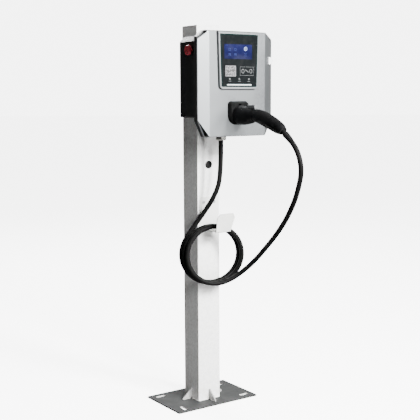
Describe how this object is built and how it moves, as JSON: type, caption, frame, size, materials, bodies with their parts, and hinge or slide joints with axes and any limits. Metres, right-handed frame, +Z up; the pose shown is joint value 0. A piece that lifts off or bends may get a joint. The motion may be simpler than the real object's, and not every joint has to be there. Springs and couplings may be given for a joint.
{
  "type": "ev charging post",
  "caption": "Square steel post on a slotted base plate with a wall-box style charger head, a cable hook with a hung coil and a holstered charging connector.",
  "frame": {"origin": "under the middle of the base plate, at floor level, on the post's axis and on the axis of the round cable way in the plate", "axes": "+Z up along the post; the charger head, its display and the connector face -Y; +X to the right of someone who faces the display"},
  "size_m": [0.368, 0.7028, 1.45],
  "materials": {
    "galvanised_grey": "grey zinc-rich powder coat, dull",
    "post_paint": "off-white fine-texture powder coat, satin",
    "black_rubber": "moulded rubber, matt",
    "zinc_screws": "zinc-plated steel",
    "galvanised_sheet": "galvanised sheet",
    "black_housing": "fine-texture moulded black plastic",
    "silver_paint": "silver metallic paint, satin",
    "white_plastic": "moulded white plastic",
    "display_glass": "smoked glass, printed black behind",
    "light_guide": "milky acrylic light guide",
    "dark_electronics": "moulded dark grey casing",
    "board_green": "solder-masked circuit board",
    "black_plastic": "moulded black plastic, satin",
    "light_electronics": "moulded light grey casing",
    "wire_insulation": "coloured wire insulation",
    "brass": "turned brass",
    "stop_red": "moulded red plastic",
    "nickel": "nickel-plated brass",
    "cable_sheath": "extruded black sheath, satin",
    "connector_plastic": "fine-texture moulded black plastic",
    "silver_contacts": "silver-plated contacts",
    "latch_grey": "moulded grey plastic"
  },
  "bodies": {
    "post": {"base_plate": "galvanised_grey", "gusset_left": "galvanised_grey", "gusset_right": "galvanised_grey", "gusset_front": "galvanised_grey", "gusset_back": "galvanised_grey", "post_tube": "post_paint", "post_cap": "post_paint", "post_grommet": "black_rubber", "cable_hook": "post_paint", "hook_screws": "zinc_screws", "box_bracket": "galvanised_sheet", "bracket_screws": "zinc_screws", "housing_screws": "zinc_screws", "rear_housing": "black_housing", "cover_gasket": "black_rubber", "front_cover": "silver_paint", "cover_screws": "zinc_screws", "side_cap": "white_plastic", "display_frame": "silver_paint", "display_glass": "display_glass", "light_bar": "light_guide", "screen_module": "dark_electronics", "card_reader": "board_green", "indicator_board": "board_green", "connector_holster": "black_plastic", "component_plate": "galvanised_sheet", "contactor": "dark_electronics", "terminal_block": "light_electronics", "power_wires": "wire_insulation", "current_sensor": "dark_electronics", "power_supply": "light_electronics", "board_standoffs": "brass", "control_board": "board_green", "stop_barrel": "black_plastic", "stop_nut": "black_plastic", "stop_contacts": "light_electronics", "gland_body": "nickel", "gland_locknut": "nickel", "gland_nut": "nickel", "gland_seal": "black_rubber", "cable_entry": "cable_sheath", "cable_drop": "cable_sheath", "cable_coil": "cable_sheath", "cable_exit": "cable_sheath"},
    "connector": {"connector_shell_left": "connector_plastic", "connector_shell_right": "connector_plastic", "connector_nose": "black_plastic", "connector_contacts": "silver_contacts", "latch_pin": "zinc_screws", "latch_spring": "zinc_screws", "cable_boot": "black_rubber", "cable_lead": "cable_sheath"},
    "latch": {"latch_lever": "latch_grey"},
    "stop_stem": {"stop_stem": "stop_red"},
    "stop_head": {"stop_head": "stop_red"}
  },
  "joints": [
    {"name": "connector_pull", "type": "slide", "parent": "post", "child": "connector", "axis": [0, -1, 0], "range_m": [0, 0.09]},
    {"name": "latch_press", "type": "hinge", "parent": "connector", "child": "latch", "pos_m": [0, -0.293, 1.137], "axis": [1, 0, 0], "range_deg": [0, 4], "stiffness_Nm_per_rad": 0.8, "springref_deg": -8.59, "deforming": ["latch_spring"]},
    {"name": "stop_push", "type": "slide", "parent": "post", "child": "stop_stem", "axis": [1, 0, 0], "range_m": [0, 0.005], "stiffness_N_per_m": 1200, "springref_m": -0.003},
    {"name": "stop_twist", "type": "hinge", "parent": "stop_stem", "child": "stop_head", "pos_m": [-0.14, -0.14, 1.35], "axis": [1, 0, 0], "range_deg": [0, 30], "stiffness_Nm_per_rad": 0.06, "springref_deg": -8.59}
  ]
}
